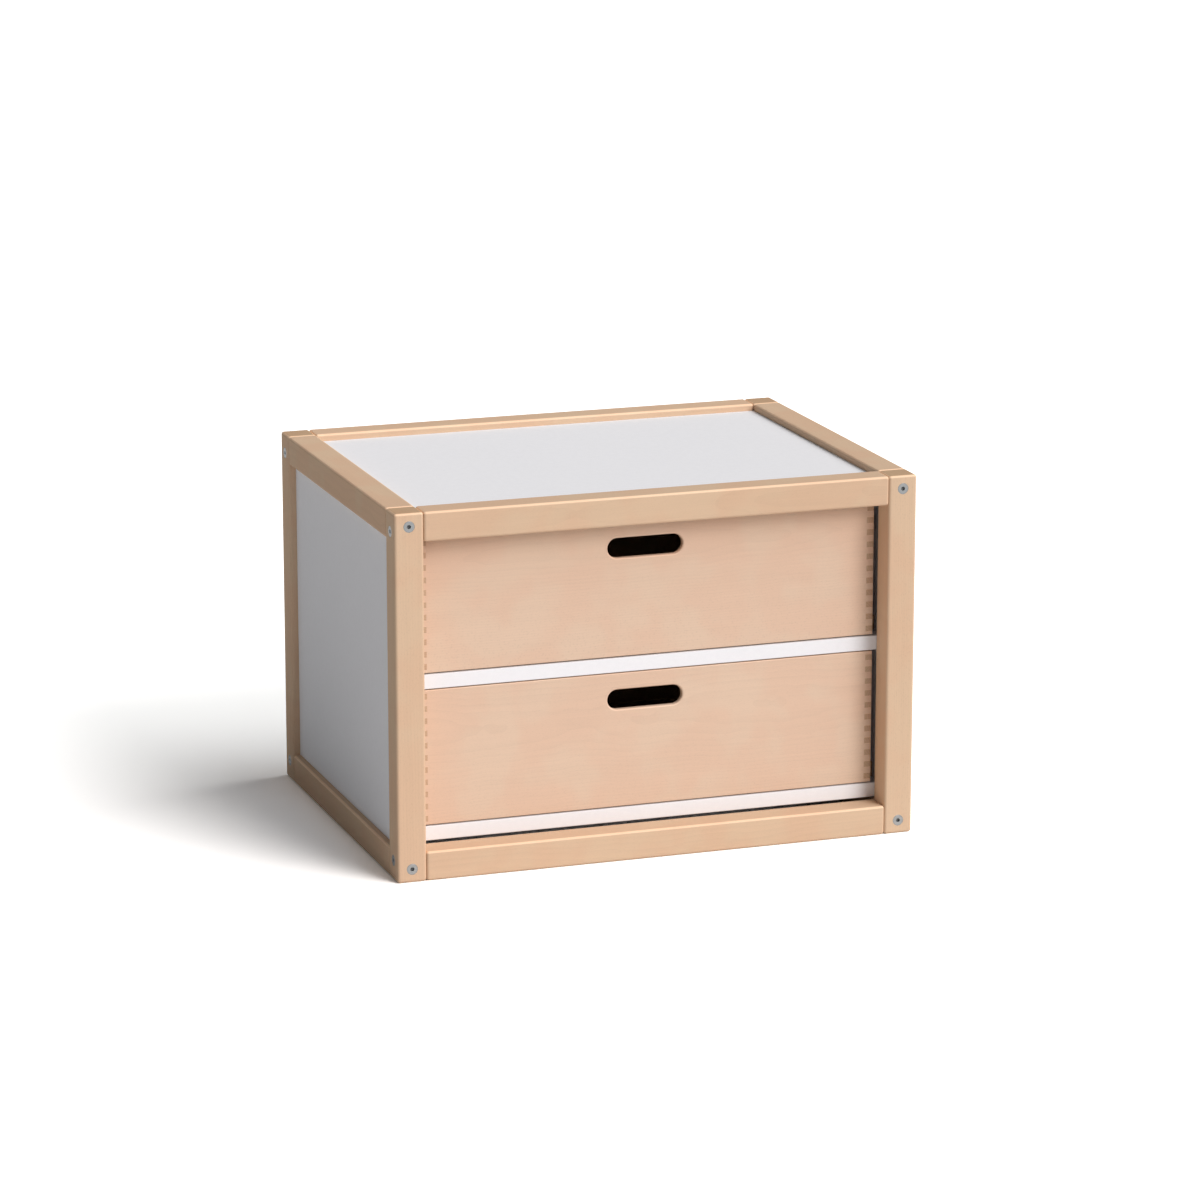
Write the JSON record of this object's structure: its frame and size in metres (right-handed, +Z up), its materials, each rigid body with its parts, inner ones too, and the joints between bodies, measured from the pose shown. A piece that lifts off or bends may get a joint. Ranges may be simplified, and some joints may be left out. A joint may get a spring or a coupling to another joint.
{
  "type": "under-desk drawer unit",
  "caption": "Low wooden drawer unit: bolted frame of rounded square bars, white panels let into the bars, stacked sliding drawers with comb-jointed corners and grip slots.",
  "frame": {"origin": "middle of the footprint, on the floor", "axes": "+X to the right along the front, +Y to the back, +Z up; the drawers open towards -Y"},
  "size_m": [0.586, 0.44, 0.4],
  "materials": {
    "beech_frame": "solid beech, clear satin lacquer",
    "beech_drawer": "beech board, clear satin lacquer",
    "drawer_bottom_ply": "beech plywood, clear satin lacquer",
    "guide_beech": "planed beech",
    "dowel_beech": "turned beech",
    "white_laminate": "white melamine on particle board, satin",
    "zinc_steel": "zinc plated",
    "insert_steel": "yellow zinc plated",
    "glide_nylon": "smooth nylon strip"
  },
  "bodies": {
    "carcass": {"front_left_post": "beech_frame", "front_right_post": "beech_frame", "rear_left_post": "beech_frame", "rear_right_post": "beech_frame", "bottom_front_rail": "beech_frame", "bottom_rear_rail": "beech_frame", "bottom_left_rail": "beech_frame", "bottom_right_rail": "beech_frame", "top_front_rail": "beech_frame", "top_rear_rail": "beech_frame", "top_left_rail": "beech_frame", "top_right_rail": "beech_frame", "top_panel": "white_laminate", "left_panel": "white_laminate", "right_panel": "white_laminate", "back_panel": "white_laminate", "middle_shelf": "white_laminate", "lower_shelf": "white_laminate", "depth_bolts": "zinc_steel", "width_bolts": "zinc_steel", "guide_screws": "zinc_steel", "stop_screws": "zinc_steel", "depth_inserts": "insert_steel", "width_inserts": "insert_steel", "rail_dowels": "dowel_beech", "upper_left_guide": "guide_beech", "upper_right_guide": "guide_beech", "upper_stop": "guide_beech", "lower_left_guide": "guide_beech", "lower_right_guide": "guide_beech", "lower_stop": "guide_beech"},
    "upper_drawer": {"upper_drawer_front": "beech_drawer", "upper_drawer_back": "beech_drawer", "upper_drawer_left_side": "beech_drawer", "upper_drawer_right_side": "beech_drawer", "upper_drawer_bottom": "drawer_bottom_ply", "upper_drawer_glides": "glide_nylon"},
    "lower_drawer": {"lower_drawer_front": "beech_drawer", "lower_drawer_back": "beech_drawer", "lower_drawer_left_side": "beech_drawer", "lower_drawer_right_side": "beech_drawer", "lower_drawer_bottom": "drawer_bottom_ply", "lower_drawer_glides": "glide_nylon"}
  },
  "joints": [
    {"name": "upper_drawer_slide", "type": "slide", "parent": "carcass", "child": "upper_drawer", "axis": [0, -1, 0], "range_m": [0, 0.3]},
    {"name": "lower_drawer_slide", "type": "slide", "parent": "carcass", "child": "lower_drawer", "axis": [0, -1, 0], "range_m": [0, 0.3]}
  ]
}
